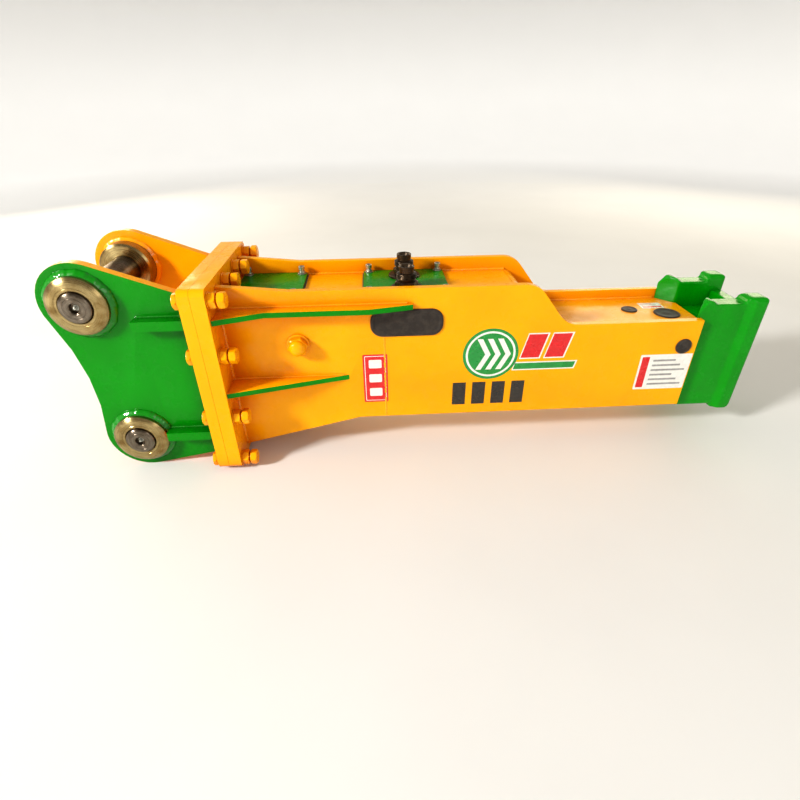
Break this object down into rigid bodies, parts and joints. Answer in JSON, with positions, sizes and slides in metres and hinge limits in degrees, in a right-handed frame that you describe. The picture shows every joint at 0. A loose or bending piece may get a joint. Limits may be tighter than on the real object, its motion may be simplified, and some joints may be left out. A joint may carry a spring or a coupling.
{
  "type": "hydraulic breaker hammer",
  "caption": "Box-type hydraulic breaker with a two-pin mounting bracket, bolted housing, claw nose, hose adaptors and the power cell inside, tool bore empty.",
  "frame": {"origin": "middle of the underside of the bounding box, at the level of the lower ear lobes", "axes": "+X along the tool axis from the bracket to the claws, +Z towards the hose adaptors, +Y to the far side"},
  "size_m": [1.6045, 0.385, 0.5059],
  "materials": {
    "yellow_paint": "glossy yellow-orange enamel",
    "green_paint": "glossy green enamel",
    "turned_steel": "bare steel turned on a lathe",
    "black_steel": "oiled black steel",
    "rubber": "matt moulded rubber",
    "bronze": "bronze",
    "zinc": "zinc plated",
    "polyurethane": "moulded polyurethane"
  },
  "bodies": {
    "housing": {"back_head": "black_steel", "bottom_plate": "yellow_paint", "box_flange": "yellow_paint", "bracket_ear_left": "green_paint", "bracket_ear_right": "green_paint", "bracket_flange": "yellow_paint", "claw_left": "green_paint", "claw_right": "green_paint", "cylinder": "black_steel", "flange_bolt_row1_left": "yellow_paint", "flange_bolt_row1_mid_left": "yellow_paint", "flange_bolt_row1_mid_right": "yellow_paint", "flange_bolt_row1_right": "yellow_paint", "flange_bolt_row2_left": "yellow_paint", "flange_bolt_row2_right": "yellow_paint", "flange_bolt_row3_left": "yellow_paint", "flange_bolt_row3_right": "yellow_paint", "flange_bolt_row4_left": "yellow_paint", "flange_bolt_row4_mid_left": "yellow_paint", "flange_bolt_row4_mid_right": "yellow_paint", "flange_bolt_row4_right": "yellow_paint", "front_head": "black_steel", "front_top_plate": "yellow_paint", "gas_cover": "green_paint", "gas_valve": "zinc", "grease_plug": "rubber", "hose_adaptor_left": "black_steel", "hose_adaptor_right": "black_steel", "lower_bush": "bronze", "lower_collar_left": "turned_steel", "lower_collar_right": "turned_steel", "nose_plate_lower": "green_paint", "nose_plate_upper": "green_paint", "pin_plug_left": "rubber", "port_cover": "green_paint", "port_plug_left": "rubber", "port_plug_right": "rubber", "ramp_plate": "yellow_paint", "rear_top_plate": "yellow_paint", "seal_retainer": "bronze", "side_bolt_left": "yellow_paint", "side_bolt_right": "yellow_paint", "side_plate_left": "yellow_paint", "side_plate_right": "yellow_paint", "stop_pin_plug": "rubber", "through_bolt_left_high": "turned_steel", "through_bolt_left_low": "turned_steel", "through_bolt_right_high": "turned_steel", "through_bolt_right_low": "turned_steel", "top_buffer": "polyurethane", "upper_bush": "bronze", "upper_collar_left": "turned_steel", "upper_collar_right": "turned_steel", "valve_cover": "black_steel"},
    "upper_pin": {"upper_pin": "turned_steel"},
    "lower_pin": {"lower_pin": "turned_steel"},
    "piston": {"piston": "turned_steel"},
    "valve_spool": {"valve_spool": "turned_steel"},
    "tool_pin": {"retaining_pin": "turned_steel"},
    "pin_plug_right": {"pin_plug_right": "rubber"}
  },
  "joints": [
    {"name": "upper_pin_pull", "type": "slide", "parent": "housing", "child": "upper_pin", "axis": [0, -1, 0], "range_m": [0, 0.34]},
    {"name": "lower_pin_pull", "type": "slide", "parent": "housing", "child": "lower_pin", "axis": [0, -1, 0], "range_m": [0, 0.34]},
    {"name": "piston_stroke", "type": "slide", "parent": "housing", "child": "piston", "axis": [1, 0, 0], "range_m": [0, 0.075]},
    {"name": "valve_shift", "type": "slide", "parent": "housing", "child": "valve_spool", "axis": [1, 0, 0], "range_m": [-0.01, 0.02]},
    {"name": "tool_pin_pull", "type": "slide", "parent": "housing", "child": "tool_pin", "axis": [0, -1, 0], "range_m": [0, 0.26]},
    {"name": "pin_plug_pull", "type": "slide", "parent": "housing", "child": "pin_plug_right", "axis": [0, -1, 0], "range_m": [0, 0.26]}
  ],
  "couplings": [
    {"joint": "pin_plug_pull", "follows": "tool_pin_pull", "ratio": 1}
  ]
}
